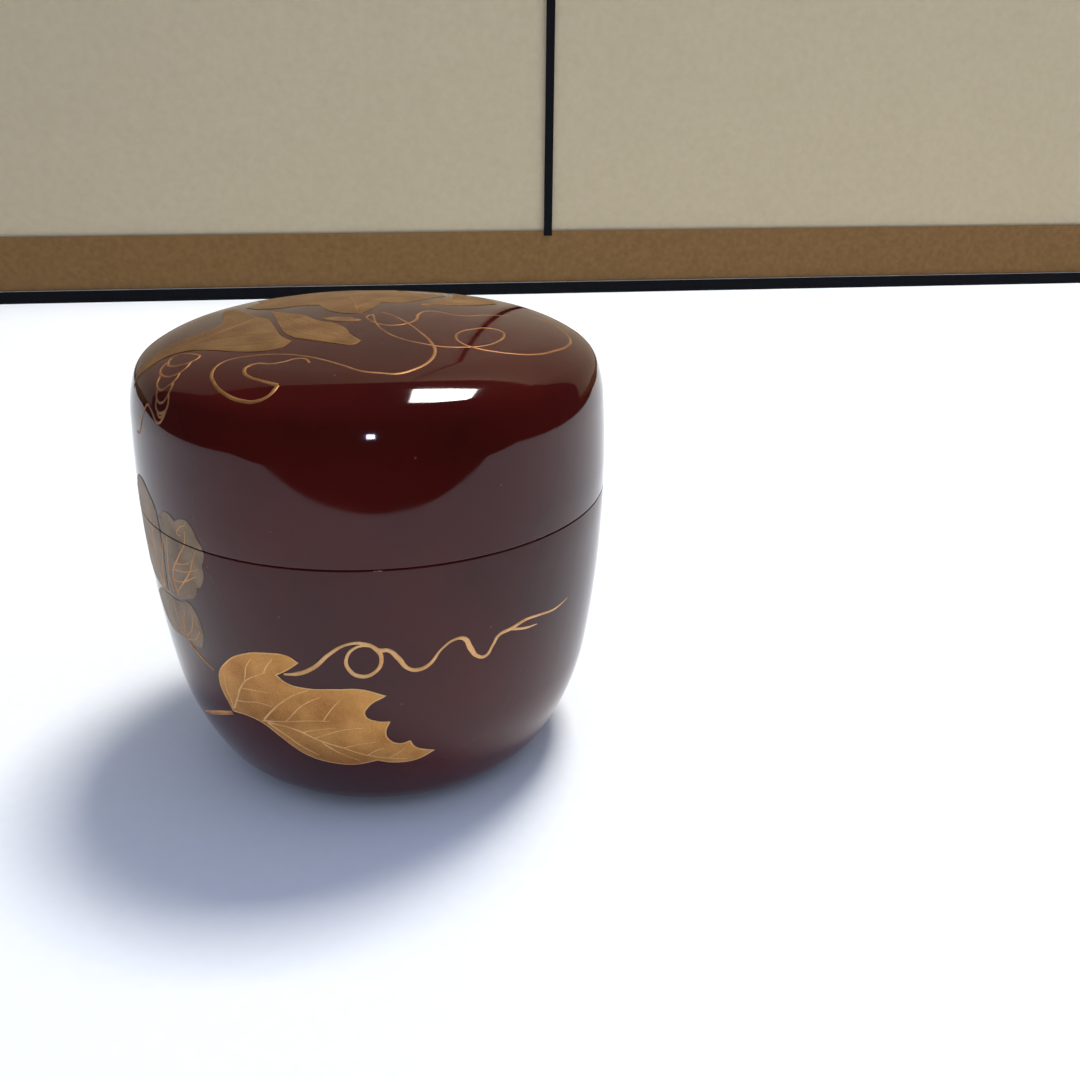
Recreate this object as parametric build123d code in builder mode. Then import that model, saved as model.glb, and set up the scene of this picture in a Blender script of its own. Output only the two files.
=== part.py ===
"""Tea caddy (natsume): turned wood lid and body, lacquered all over, with gold pictures on the outside."""
from build123d import *
from math import radians, sin, tan
import os

os.makedirs("parts", exist_ok=True)

# ---- Driving dimensions, in millimetres and degrees ----
DIAMETER = 66.0
HEIGHT = 66.0
SEAM = 41.5  # height at which the lid rests on the body

# The outside is one chain of arcs, each running on smoothly from the last. Slope is 0 where the lid is
# flat in the middle, 90 at the widest place and more than 90 where the body draws in below.
DOME_END = 12.0
ARCS_BELOW_DOME = [  # radius, slope at the lower end
    (17.5, 34.0),  # crown
    (4.2, 70.0),  # shoulder
    (17.0, 86.0),  # upper side
    (164.0, 99.0),  # long side
    (37.0, 119.0),  # waist
    (9.5, 160.0),  # heel
]

FOOT_RADIUS = 21.5
BASE_RADIUS = 21.6  # the base has a coat of its own within this
FOOT_INSIDE = 19.0
FOOT_HOLLOW = 0.8  # depth of the underside within the foot
FOOT_EDGE = 0.15

COAT = 0.35  # lacquer on the outside, with its ground
INNER_COAT = 0.25
GOLD = 0.08  # how far the gold stands out of the lacquer
SEAM_EDGE = 0.2  # rounding of both edges at the seam

MOUTH_RADIUS = 29.3  # inside of the standing rim
RIM_RADIUS = 30.95  # outside of the standing rim
RIM_HEIGHT = 8.5  # of the rim above the seam
RIM_EDGE = 0.6
FLOOR = 4.0  # height of the floor inside
FLOOR_CORNER = 14.0

SKIRT_RADIUS = 31.05  # inside of the lid: 0.10 clear of the rim all round
LID_THICKNESS = 2.6  # in the dome

LINE = 0.7  # width of a drawn gold line
THIN_LINE = 0.5
SEAM_GAP = 0.3  # the gold stops this far above and below the seam
GOLD_FROM = 6.0  # no picture reaches below this height

# ---- The outside ----


def slope_sine(slope):
    return sin(radians(slope))


def dome_radius():
    """The radius that brings the chain of arcs out to the full diameter where the slope is 90."""
    reach, slope = 0.0, DOME_END
    for radius, end in ARCS_BELOW_DOME:
        reach += radius * (slope_sine(min(end, 90.0)) - slope_sine(min(slope, 90.0)))
        slope = end
    return (DIAMETER / 2 - reach) / slope_sine(DOME_END)


DOME_RADIUS = dome_radius()


def outside(inset):
    """Half section of all that lies within the outside surface, which is moved in by inset."""
    with BuildSketch() as section:
        with BuildLine():
            arc = JernArc((0, HEIGHT - inset), (1, 0), DOME_RADIUS - inset, -DOME_END)
            slope = DOME_END
            for radius, end in ARCS_BELOW_DOME:
                arc = JernArc(arc @ 1, arc % 1, radius - inset, slope - end)
                slope = end
            wall = FOOT_RADIUS - inset
            heel = arc @ 1
            foot_top = heel.Y - (heel.X - wall) * tan(radians(180.0 - slope))
            inner_wall = FOOT_INSIDE + inset
            roof = FOOT_HOLLOW + inset
            Polyline(heel, (wall, foot_top), (wall, inset), (inner_wall, inset), (inner_wall, roof), (0, roof))
            Line((0, roof), (0, HEIGHT - inset))
        make_face()
    return section.sketch


def cut_below(height):
    with Locations((0, height)):
        Rectangle(2 * DIAMETER, 2 * HEIGHT, align=(Align.CENTER, Align.MAX), mode=Mode.SUBTRACT)


def cut_above(height):
    with Locations((0, height)):
        Rectangle(2 * DIAMETER, 2 * HEIGHT, align=(Align.CENTER, Align.MIN), mode=Mode.SUBTRACT)


# ---- The inside of the lid and of the body ----


def lid_hollow(grow):
    """Half section of the space under the lid, its walls moved out by grow."""
    top = HEIGHT - LID_THICKNESS
    wall = SKIRT_RADIUS + grow
    under_dome = DOME_RADIUS - LID_THICKNESS + grow
    reach = under_dome * slope_sine(DOME_END)
    shoulder = (wall - reach) / (1 - slope_sine(DOME_END))
    with BuildSketch() as section:
        with BuildLine():
            dome = JernArc((0, top + grow), (1, 0), under_dome, -DOME_END)
            corner = JernArc(dome @ 1, dome % 1, shoulder, DOME_END - 90.0)
            Polyline(corner @ 1, (wall, SEAM), (0, SEAM), (0, top + grow))
        make_face()
    return section.sketch


def body_hollow(grow):
    """Half section of the space for the tea, its walls moved out by grow."""
    wall = MOUTH_RADIUS + grow
    corner = FLOOR_CORNER + grow
    with BuildSketch() as section:
        with BuildLine():
            bend = JernArc((wall, FLOOR + FLOOR_CORNER), (0, -1), corner, -90.0)
            Polyline(bend @ 1, (0, FLOOR - grow), (0, HEIGHT), (wall, HEIGHT), bend @ 0)
        make_face()
    return section.sketch


def rim(inset, bottom):
    """Half section of the standing rim, filled in to the axis."""
    top = SEAM + RIM_HEIGHT - inset
    with BuildSketch() as section:
        with Locations((0, bottom)):
            Rectangle(RIM_RADIUS - inset, top - bottom, align=Align.MIN)
    return section.sketch


# ---- Wood cores; each coat of lacquer is what the sections leave round them ----


def lid_core():
    with BuildSketch() as section:
        add(outside(COAT))
        cut_below(SEAM + COAT)
        add(lid_hollow(INNER_COAT), mode=Mode.SUBTRACT)
    return section.sketch


def body_core():
    with BuildSketch() as section:
        add(outside(COAT))
        cut_above(SEAM - COAT)
        add(rim(INNER_COAT, SEAM - 2 * COAT))
        add(body_hollow(INNER_COAT), mode=Mode.SUBTRACT)
        fillet(section.vertices().group_by(Axis.Y)[-1], RIM_EDGE - INNER_COAT)
    return section.sketch


with BuildPart() as body_wood_core:
    with BuildSketch(Plane.XZ):
        add(body_core())
    revolve(axis=Axis.Z)

with BuildPart() as lid_wood_core:
    with BuildSketch(Plane.XZ):
        add(lid_core())
    revolve(axis=Axis.Z)

# ---- Lacquer ----

with BuildPart() as body_outer_lacquer:
    with BuildSketch(Plane.XZ):
        add(outside(0))
        cut_above(SEAM)
        add(body_core(), mode=Mode.SUBTRACT)
        add(body_hollow(INNER_COAT), mode=Mode.SUBTRACT)
        add(rim(0, SEAM - COAT), mode=Mode.SUBTRACT)
        Rectangle(BASE_RADIUS, FLOOR / 2, align=Align.MIN, mode=Mode.SUBTRACT)
    revolve(axis=Axis.Z)
    top_edges = body_outer_lacquer.edges().group_by(Axis.Z)[-1]
    fillet(top_edges.sort_by(SortBy.LENGTH)[-1], SEAM_EDGE)

with BuildPart() as base_lacquer:
    with BuildSketch(Plane.XZ):
        add(outside(0))
        add(body_core(), mode=Mode.SUBTRACT)
        Rectangle(BASE_RADIUS, FLOOR / 2, align=Align.MIN, mode=Mode.INTERSECT)
    revolve(axis=Axis.Z)
    fillet(base_lacquer.edges().group_by(Axis.Z)[0], FOOT_EDGE)

with BuildPart() as body_inner_lacquer:
    with BuildSketch(Plane.XZ) as inner_section:
        add(rim(0, SEAM - COAT))
        add(body_hollow(INNER_COAT))
        cut_above(SEAM + RIM_HEIGHT)
        add(body_hollow(0), mode=Mode.SUBTRACT)
        fillet(inner_section.vertices().group_by(Axis.Y)[-1], RIM_EDGE)
        add(body_core(), mode=Mode.SUBTRACT)
    revolve(axis=Axis.Z)

with BuildPart() as lid_outer_lacquer:
    with BuildSketch(Plane.XZ):
        add(outside(0))
        cut_below(SEAM)
        add(lid_core(), mode=Mode.SUBTRACT)
        add(lid_hollow(INNER_COAT), mode=Mode.SUBTRACT)
    revolve(axis=Axis.Z)
    bottom_edges = lid_outer_lacquer.edges().group_by(Axis.Z)[0]
    fillet(bottom_edges.sort_by(SortBy.LENGTH)[-1], SEAM_EDGE)

with BuildPart() as lid_inner_lacquer:
    with BuildSketch(Plane.XZ):
        add(lid_hollow(INNER_COAT))
        add(lid_hollow(0), mode=Mode.SUBTRACT)
    revolve(axis=Axis.Z)

# ---- Gold pictures ----
# Each is drawn flat on a plane that faces it, then pushed through a film of gold that covers the outside.


def gold_film():
    with BuildPart() as film:
        with BuildSketch(Plane.XZ):
            add(outside(-GOLD))
            cut_below(GOLD_FROM)
            add(outside(0), mode=Mode.SUBTRACT)
        revolve(axis=Axis.Z)
    return film.part


FILM = gold_film()


def facing(bearing, rise=0.0, height=0.0):
    """The plane through the axis at height, seen from outside at bearing, 0 being the front (-Y) and 90 the
    right (+X), and from rise degrees above the level. Its x runs to the right and its y runs up."""
    out = Vector(0, -1, 0).rotate(Axis.X, -rise).rotate(Axis.Z, bearing)
    return Plane(origin=(0, 0, height), x_dir=Vector(1, 0, 0).rotate(Axis.Z, bearing), z_dir=out)


def shape(*runs):
    """An outline of smooth runs with a corner between each and the next, in the sketch being drawn."""
    with BuildLine(mode=Mode.PRIVATE) as outline:
        for index, run in enumerate(runs):
            following = runs[(index + 1) % len(runs)]
            Spline(*run, following[0])
    make_face(outline.edges())


def stroke(width, *points):
    """One drawn line of even width."""
    with BuildLine(mode=Mode.PRIVATE) as line:
        Spline(*points)
    trace(line.line, line_width=width)


def ring(centre, half_width, half_height):
    """One drawn loop, an ellipse."""
    with BuildSketch(mode=Mode.PRIVATE) as loop:
        Ellipse(half_width + THIN_LINE / 2, half_height + THIN_LINE / 2)
        Ellipse(half_width - THIN_LINE / 2, half_height - THIN_LINE / 2, mode=Mode.SUBTRACT)
    with Locations(centre):
        add(loop.sketch)


def press_onto_surface():
    """Push the drawing out through the gold film and keep what lies in the film."""
    extrude(amount=DIAMETER)
    add(FILM, mode=Mode.INTERSECT)


LID_TOP = Plane.XY.offset(SEAM)

with BuildPart() as front_leaf:
    with BuildSketch(facing(-18)):
        shape(
            [(-12.5, 17.3), (-13.9, 22.2), (-11.9, 25.7), (-8.8, 27.9), (-5.0, 28.9), (-2.5, 28.9)],
            [(-1.2, 28.1), (-2.8, 26.8)],
            [(-4.5, 25.7), (-3.0, 24.6), (-0.5, 24.2), (3.5, 24.4), (6.6, 24.4)],
            [(9.3, 23.3), (7.2, 21.8), (6.6, 20.2), (8.0, 19.2)],
            [(9.5, 19.0), (8.9, 17.4), (9.1, 16.1), (10.4, 15.1)],
            [(11.7, 15.4), (12.2, 14.2)],
            [(14.3, 13.0), (12.1, 11.8), (9.3, 11.7)],
            [(7.3, 12.3), (4.2, 11.5), (1.0, 11.8), (-1.7, 13.0), (-4.4, 15.4), (-7.0, 17.2), (-9.7, 17.8)],
        )
    press_onto_surface()

with BuildPart() as front_leaf_stem:
    with BuildSketch(facing(-30)):
        stroke(LINE, (-13.6, 13.3), (-9.5, 15.5), (-6.8, 16.7))
    press_onto_surface()

with BuildPart() as front_tendril:
    with BuildSketch(facing(13)):
        stroke(LINE, (-19.1, 26.1), (-17.7, 26.4), (-15.9, 27.6), (-14.0, 29.8), (-12.1, 31.2), (-10.2, 31.4),
               (-8.4, 30.4))
        stroke(LINE, (-8.4, 30.4), (-7.1, 30.2), (-6.0, 29.0), (-4.8, 27.3), (-3.7, 26.9), (-2.2, 27.4),
               (-0.4, 29.6), (1.4, 30.6))
        stroke(LINE, (1.4, 30.6), (2.5, 30.5), (3.4, 28.7), (4.3, 27.3), (5.5, 26.9), (6.6, 28.3), (7.4, 29.5),
               (9.3, 29.9), (11.6, 30.4), (13.8, 30.2), (16.8, 29.6), (19.3, 29.7))
        stroke(THIN_LINE, (9.3, 29.8), (11.7, 29.1), (13.6, 28.9))
        ring((-10.1, 28.8), 2.0, 2.3)
    press_onto_surface()

# The large leaf round the left side runs over the seam, in two halves with a bare line between them.


def side_leaf_front():
    shape(
        [(4.8, 43.6), (5.6, 44.5), (7.0, 44.9), (8.3, 44.6)],
        [(8.9, 44.2), (10.0, 44.8), (11.4, 45.0), (12.4, 44.1), (13.0, 43.0), (13.6, 42.1), (13.8, 40.8)],
        [(13.2, 39.4), (13.3, 38.0), (12.9, 36.9)],
        [(12.3, 36.0), (11.6, 35.7), (11.2, 34.6), (10.0, 33.6)],
        [(9.3, 33.4), (8.1, 32.9), (6.1, 32.6)],
        [(4.1, 32.6), (4.8, 36.0), (5.0, 40.0)],
    )


def side_leaf_back():
    shape(
        [(4.3, 43.2), (3.7, 44.6), (2.0, 46.0), (-1.0, 47.2), (-4.0, 46.2)],
        [(-5.0, 44.8), (-7.5, 44.0), (-9.6, 41.0)],
        [(-9.0, 39.0), (-9.4, 36.0), (-7.0, 33.6)],
        [(-5.0, 33.4), (-1.0, 32.2), (2.0, 32.1)],
        [(3.6, 32.4), (4.2, 36.0), (4.5, 40.0)],
    )


SIDE = facing(-66)
LID_GOLD_EDGE = Plane.XY.offset(SEAM + SEAM_GAP)
BODY_GOLD_EDGE = Plane.XY.offset(SEAM - SEAM_GAP)

with BuildPart() as side_leaf_front_on_lid:
    with BuildSketch(SIDE):
        side_leaf_front()
    press_onto_surface()
    split(bisect_by=LID_GOLD_EDGE, keep=Keep.TOP)

with BuildPart() as side_leaf_front_on_body:
    with BuildSketch(SIDE):
        side_leaf_front()
    press_onto_surface()
    split(bisect_by=BODY_GOLD_EDGE, keep=Keep.BOTTOM)

with BuildPart() as side_leaf_back_on_lid:
    with BuildSketch(SIDE):
        side_leaf_back()
    press_onto_surface()
    split(bisect_by=LID_GOLD_EDGE, keep=Keep.TOP)

with BuildPart() as side_leaf_back_on_body:
    with BuildSketch(SIDE):
        side_leaf_back()
    press_onto_surface()
    split(bisect_by=BODY_GOLD_EDGE, keep=Keep.BOTTOM)

with BuildPart() as small_side_leaf:
    with BuildSketch(SIDE):
        shape(
            [(4.2, 32.0), (7.0, 32.2), (9.2, 32.8), (10.4, 31.6), (10.9, 29.6), (10.8, 28.0)],
            [(10.1, 26.4), (9.3, 26.0), (8.0, 25.9), (6.6, 26.2), (4.5, 26.0), (1.7, 25.8), (-1.5, 27.5)],
            [(-2.5, 30.0), (0.5, 31.6)],
        )
    press_onto_surface()

with BuildPart() as small_side_leaf_stem:
    with BuildSketch(SIDE):
        stroke(THIN_LINE, (7.2, 25.5), (8.8, 24.6), (11.0, 23.4))
    press_onto_surface()

# ---- Gold pictures on the top of the lid, drawn in plan ----

with BuildPart() as trumpet_flower:
    with BuildSketch(LID_TOP):
        shape(
            [(-30.3, -9.4), (-28.9, -10.1), (-26.0, -9.9), (-22.8, -10.7), (-20.0, -12.3), (-15.8, -15.0),
             (-12.9, -15.8), (-10.8, -15.3)],
            [(-9.9, -13.7), (-11.3, -11.4), (-12.5, -6.9)],
            [(-13.4, -3.0), (-14.9, -0.9), (-17.1, 3.8)],
            [(-18.2, 7.0), (-19.6, 9.2)],
            [(-20.4, 6.0), (-19.6, 2.1), (-20.3, -2.8), (-22.0, -4.2), (-23.9, -5.2), (-26.9, -6.4),
             (-29.3, -8.0)],
        )
    press_onto_surface()

with BuildPart() as flower_bud:
    with BuildSketch(LID_TOP):
        shape(
            [(-13.1, 1.2), (-10.7, -1.3), (-8.5, -3.4), (-6.9, -6.3), (-4.8, -8.2), (-3.3, -10.3), (-2.6, -12.8)],
            [(-1.3, -15.4), (-2.2, -16.4), (-4.2, -15.7), (-6.2, -14.6), (-8.2, -13.4)],
            [(-9.4, -12.6), (-10.5, -10.8), (-11.5, -7.1), (-12.4, -2.5)],
        )
    press_onto_surface()

with BuildPart() as thin_leaf:
    with BuildSketch(LID_TOP):
        shape([(-6.3, -5.4), (-4.3, -5.2), (-2.4, -5.9)], [(-1.0, -7.2), (-2.6, -7.7), (-4.4, -7.2), (-5.7, -6.3)])
    press_onto_surface()

with BuildPart() as back_leaf:
    with BuildSketch(LID_TOP):
        shape(
            [(-17.2, 7.6), (-14.8, 4.4), (-12.0, 3.2), (-8.8, 3.4)],
            [(-6.8, 2.6), (-5.8, -0.8), (-4.4, -2.7), (-2.6, -3.7), (-1.3, -3.8), (-0.1, -2.6), (0.8, -0.6)],
            [(1.8, 2.6), (4.4, 2.6), (6.6, 4.4), (9.0, 7.6)],
            [(11.3, 11.6), (8.0, 12.4), (5.4, 14.6)],
            [(4.0, 19.0), (0.5, 18.6), (-3.6, 22.6)],
            [(-6.4, 24.6), (-8.6, 20.6), (-12.0, 17.6)],
            [(-16.4, 17.0), (-15.6, 12.6)],
        )
    press_onto_surface()

with BuildPart() as right_back_leaf:
    with BuildSketch(LID_TOP):
        shape(
            [(6.9, 1.5), (10.6, 2.4), (14.2, 3.6), (17.2, 6.4)],
            [(18.6, 8.4), (18.0, 13.0), (14.6, 17.0)],
            [(12.6, 19.0), (12.6, 14.0), (12.2, 10.4), (9.4, 5.4)],
        )
    press_onto_surface()

with BuildPart() as lid_tendrils:
    with BuildSketch(LID_TOP):
        # a long line that curls round twice and ends in a hook; it turns back on itself at one corner
        stroke(LINE, (-7.4, -21.0), (-8.0, -19.7), (-9.1, -19.4), (-10.6, -19.9), (-12.1, -20.0), (-13.8, -19.4),
               (-15.0, -20.0), (-15.1, -21.2), (-14.4, -22.4), (-12.9, -23.7), (-11.0, -25.0))
        stroke(LINE, (-11.0, -25.2), (-12.0, -26.4), (-13.5, -26.7), (-15.1, -26.0), (-17.1, -24.2), (-18.6, -21.7),
               (-19.1, -19.1), (-18.3, -17.5), (-16.7, -16.8), (-14.8, -16.8), (-11.9, -17.3), (-9.0, -18.4),
               (-6.1, -20.2), (-3.2, -22.5), (-1.3, -24.0))
        stroke(LINE, (-1.3, -24.0), (0.9, -24.6), (2.9, -24.8), (5.0, -23.7), (6.9, -21.5), (7.8, -18.5),
               (7.5, -15.8), (6.3, -12.2), (4.7, -8.3), (3.0, -5.0), (1.7, -3.4))
        # a finer line that makes one loop on the right
        stroke(THIN_LINE, (0.5, -4.9), (0.8, -8.7), (2.0, -12.4), (4.0, -14.9), (6.1, -16.1), (8.3, -16.9),
               (11.2, -16.8), (14.0, -15.8), (16.0, -13.9), (17.3, -11.2), (17.1, -9.2), (15.5, -8.6),
               (13.2, -9.8), (11.5, -11.4))
        stroke(THIN_LINE, (11.5, -11.4), (10.8, -13.4), (11.3, -15.3), (12.6, -16.5), (15.0, -17.2),
               (17.9, -17.2), (20.8, -16.0), (23.6, -13.3), (26.1, -9.5), (27.1, -5.9), (26.6, -2.8),
               (25.4, 0.1), (23.0, 1.7))
        # a short line behind it
        stroke(THIN_LINE, (0.5, -4.6), (-0.3, -5.4), (0.0, -7.3), (1.4, -9.2), (3.1, -9.6), (4.9, -8.7),
               (6.0, -7.2), (6.6, -4.2), (7.9, -2.3), (9.5, -2.5), (11.6, -3.6), (13.4, -3.5), (15.5, -2.1),
               (19.5, -0.4))
    press_onto_surface()

with BuildPart() as coil_tendril:
    with BuildSketch(facing(-58, rise=40, height=54)):
        ring((-1.3, -10.8), 2.6, 1.3)
        ring((-0.2, -12.1), 2.9, 1.4)
        ring((0.6, -13.8), 2.9, 1.3)
        ring((1.8, -15.4), 2.1, 1.2)
        ring((2.5, -16.9), 1.6, 1.1)
        stroke(THIN_LINE, (3.0, -17.9), (2.4, -18.8), (1.0, -18.4), (-0.2, -17.8), (-1.3, -17.7), (-1.9, -18.5),
               (-2.6, -19.6), (-3.6, -21.2), (-4.9, -21.6), (-5.6, -21.1))
    press_onto_surface()

# ---- Files ----

PIECES = {
    "body_wood_core": body_wood_core,
    "body_outer_lacquer": body_outer_lacquer,
    "body_inner_lacquer": body_inner_lacquer,
    "base_lacquer": base_lacquer,
    "lid_wood_core": lid_wood_core,
    "lid_outer_lacquer": lid_outer_lacquer,
    "lid_inner_lacquer": lid_inner_lacquer,
    "front_leaf": front_leaf,
    "front_leaf_stem": front_leaf_stem,
    "front_tendril": front_tendril,
    "side_leaf_front_on_lid": side_leaf_front_on_lid,
    "side_leaf_front_on_body": side_leaf_front_on_body,
    "side_leaf_back_on_lid": side_leaf_back_on_lid,
    "side_leaf_back_on_body": side_leaf_back_on_body,
    "small_side_leaf": small_side_leaf,
    "small_side_leaf_stem": small_side_leaf_stem,
    "trumpet_flower": trumpet_flower,
    "flower_bud": flower_bud,
    "thin_leaf": thin_leaf,
    "back_leaf": back_leaf,
    "right_back_leaf": right_back_leaf,
    "lid_tendrils": lid_tendrils,
    "coil_tendril": coil_tendril,
}

for name, piece in PIECES.items():
    piece.part.label = name
    export_step(piece.part, f"parts/{name}.step")
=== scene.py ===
"""Tea caddy (natsume): polished see-through lacquer with gold powder pictures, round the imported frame."""

import bmesh
import bpy
from math import acos, ceil, cos, degrees, radians, sin
from mathutils import Matrix, Vector
from mathutils.bvhtree import BVHTree


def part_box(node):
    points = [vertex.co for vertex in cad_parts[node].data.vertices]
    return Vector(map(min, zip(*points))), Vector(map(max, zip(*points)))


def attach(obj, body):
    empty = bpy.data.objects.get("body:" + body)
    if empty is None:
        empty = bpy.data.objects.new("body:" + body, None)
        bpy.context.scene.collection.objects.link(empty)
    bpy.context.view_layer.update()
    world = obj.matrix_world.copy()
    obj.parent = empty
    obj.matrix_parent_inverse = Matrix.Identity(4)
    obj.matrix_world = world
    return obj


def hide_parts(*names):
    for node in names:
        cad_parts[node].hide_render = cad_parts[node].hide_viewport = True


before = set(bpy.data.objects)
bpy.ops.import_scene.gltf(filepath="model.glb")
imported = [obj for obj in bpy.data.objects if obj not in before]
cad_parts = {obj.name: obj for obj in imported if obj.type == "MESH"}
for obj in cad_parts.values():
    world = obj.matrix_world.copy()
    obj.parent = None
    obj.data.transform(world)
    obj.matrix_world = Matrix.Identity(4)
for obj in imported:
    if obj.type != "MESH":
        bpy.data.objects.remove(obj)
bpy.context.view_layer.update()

MM = 0.001
LID = "lid"
BODY = "caddy_body"

# ---- Sizes, in millimetres: the levels come from the frame, the rest repeats the part ----

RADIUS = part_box("lid_outer_lacquer")[1].x / MM
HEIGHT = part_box("lid_outer_lacquer")[1].z / MM
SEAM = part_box("lid_outer_lacquer")[0].z / MM
RIM_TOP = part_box("body_inner_lacquer")[1].z / MM

DOME_END = 12.0
ARCS_BELOW_DOME = [  # radius, slope at the lower end, as in the part
    (17.5, 34.0),
    (4.2, 70.0),
    (17.0, 86.0),
    (164.0, 99.0),
    (37.0, 119.0),
    (9.5, 160.0),
]
LONG_SIDE = 4  # place in the chain of the arc that the seam cuts, the dome being 0

COAT = 0.35
INNER_COAT = 0.25
SEAM_EDGE = 0.2
RIM_EDGE = 0.6
MOUTH_RADIUS = 29.3
RIM_RADIUS = 30.95
SKIRT_RADIUS = 31.05
LID_THICKNESS = 2.6
FLOOR = 4.0
FLOOR_CORNER = 14.0
BASE_RADIUS = 21.6
FOOT_RADIUS = 21.5
FOOT_INSIDE = 19.0
FOOT_HOLLOW = 0.8
FOOT_TOP = 0.55
FOOT_CORE_TOP = 0.8  # of the foot's wall under its coat
FOOT_EDGE = 0.15
BASE_JOINT = (0.59, 0.96)  # levels where the base's coat meets the body's, outside and on the wood
HEEL_END = (21.618, 0.97)  # radius and height where the heel ends on the wood

ARC_STEP = 1.5  # degrees
TURN_STEPS = 240
SAME_POINT = 0.0005
SAME_RING = 0.01
EDGE_STEPS = 4
SHARP = radians(35)

GOLD_EDGE = 0.06  # rounding of the rim of a gold shape, which is also how far it stands out
GOLD_SUNK = 0.3  # share of a shape's lower half that is let into the lacquer
GOLD_GRID = 0.9  # a shape is cut this small, to follow the surface
FINE_GOLD_GRID = 0.45  # where it bends over the shoulder
LINE_RISE = 0.10  # how far a raised line stands out at its middle
LID_LINE_RISE = 0.06
LID_BRUSH = 0.66  # how fine the lid's lines are beside their stated widths
COIL_LINE = 0.30
ON_LEAF = 0.05  # lift of a line that lies on a gold shape
VEIN_RISE = 0.05
OUTLINE = 0.2
SEAM_GAP = 0.1
SAME_DRAWN_POINT = 0.002
CLEAR_OF_CADDY = 0.1  # metres from the axis, where a ray towards it starts

# ---- Turned coats of lacquer ----


def outside_arcs():
    """The outline from the middle of the lid to the heel, each arc as its centre and how far it turns."""
    reach, slope = 0.0, DOME_END
    for radius, end in ARCS_BELOW_DOME:
        reach += radius * (sin(radians(min(end, 90))) - sin(radians(min(slope, 90))))
        slope = end
    dome = (RADIUS - reach) / sin(radians(DOME_END))
    x, z, slope, arcs = 0.0, HEIGHT, 0.0, []
    for radius, end in [(dome, DOME_END), *ARCS_BELOW_DOME]:
        x, z = x - radius * sin(radians(slope)), z - radius * cos(radians(slope))
        arcs.append((x, z, end - slope))
        x, z, slope = x + radius * sin(radians(end)), z + radius * cos(radians(end)), end
    return arcs


OUTSIDE = outside_arcs()
DOME_CENTRE = OUTSIDE[0][1]


def back_along(arcs):
    return [(x, z, -turn) for x, z, turn in reversed(arcs)]


def long_side_to(height, inset):
    """The long side's arc from its upper end down to a height, and from there to its lower end."""
    x, z, turn = OUTSIDE[LONG_SIDE]
    radius, lower_slope = ARCS_BELOW_DOME[LONG_SIDE - 1]
    upper_turn = degrees(acos((height - z) / (radius - inset))) - (lower_slope - turn)
    return (x, z, upper_turn), (x, z, turn - upper_turn)


def outside_radius(height, inset=0.0):
    x, z, _ = OUTSIDE[LONG_SIDE]
    radius = ARCS_BELOW_DOME[LONG_SIDE - 1][0] - inset
    return x + radius * sin(acos((height - z) / radius))


def section(bm, start, *moves):
    """Draws a half section from its start, by straight lines to (x, z) and by arcs about (x, z) that turn
    by a number of degrees, outwards and down being positive at the top. Returns its two ends."""
    first = end = bm.verts.new((start[0] * MM, 0, start[1] * MM))
    for x, z, *turn in moves:
        if turn:
            steps = max(3, ceil(abs(turn[0]) / ARC_STEP))
            run = bmesh.ops.spin(bm, geom=[end], cent=(x * MM, 0, z * MM), axis=(0, 1, 0),
                                 angle=radians(turn[0]), steps=steps)
            end = next(part for part in run["geom_last"] if isinstance(part, bmesh.types.BMVert))
        else:
            end = bmesh.ops.extrude_vert_indiv(bm, verts=[end])["verts"][0]
            end.co = (x * MM, 0, z * MM)
    return first, end


def turn_round(bm):
    """Spins the section once round, and closes it on the axis."""
    bmesh.ops.spin(bm, geom=bm.verts[:] + bm.edges[:], cent=(0, 0, 0), axis=(0, 0, 1),
                   angle=radians(360), steps=TURN_STEPS, use_merge=True)
    bmesh.ops.remove_doubles(bm, verts=bm.verts, dist=SAME_POINT * MM)
    bmesh.ops.recalc_face_normals(bm, faces=bm.faces)


def round_off(bm, height, radius, width):
    """Rounds the sharp ring at a height and radius."""
    near = SAME_RING * MM
    ring = [edge for edge in bm.edges if all(
        abs(v.co.z - height * MM) < near and abs(v.co.xy.length - radius * MM) < near for v in edge.verts)]
    bmesh.ops.bevel(bm, geom=ring, offset=width * MM, segments=EDGE_STEPS, profile=0.5, affect="EDGES",
                    material=-1)


def coat(start, *moves, rounded=()):
    """One coat of lacquer: its closed half section turned round, with its sharp rings rounded."""
    bm = bmesh.new()
    first, last = section(bm, start, *moves)
    if start[0]:
        bm.edges.new((last, first))
    turn_round(bm)
    for height, radius, width in rounded:
        round_off(bm, height, radius, width)
    return bm


def finished(name, bm, material, body, slot, *nodes):
    """Makes a piece that rides on a body with the given material, and stands for CAD nodes. The slot is not
    used.
    """
    bmesh.ops.recalc_face_normals(bm, faces=bm.faces)
    mesh = bpy.data.meshes.new(name)
    bm.to_mesh(mesh)
    bm.free()
    mesh.materials.append(material)
    mesh.shade_smooth()
    mesh.set_sharp_from_angle(angle=SHARP)
    piece = bpy.data.objects.new(name, mesh)
    bpy.context.scene.collection.objects.link(piece)
    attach(piece, body)
    if nodes:
        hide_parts(*nodes)
    return piece


def lid_outside_coat():
    visible = [*OUTSIDE[:LONG_SIDE], long_side_to(SEAM, 0)[0]]
    hidden = [*OUTSIDE[:LONG_SIDE], long_side_to(SEAM + COAT, COAT)[0]]
    inner = SKIRT_RADIUS + INNER_COAT
    return coat((0, HEIGHT), *visible, (inner, SEAM), (inner, SEAM + COAT),
                (outside_radius(SEAM + COAT, COAT), SEAM + COAT), *back_along(hidden),
                rounded=[(SEAM, outside_radius(SEAM), SEAM_EDGE)])


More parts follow.
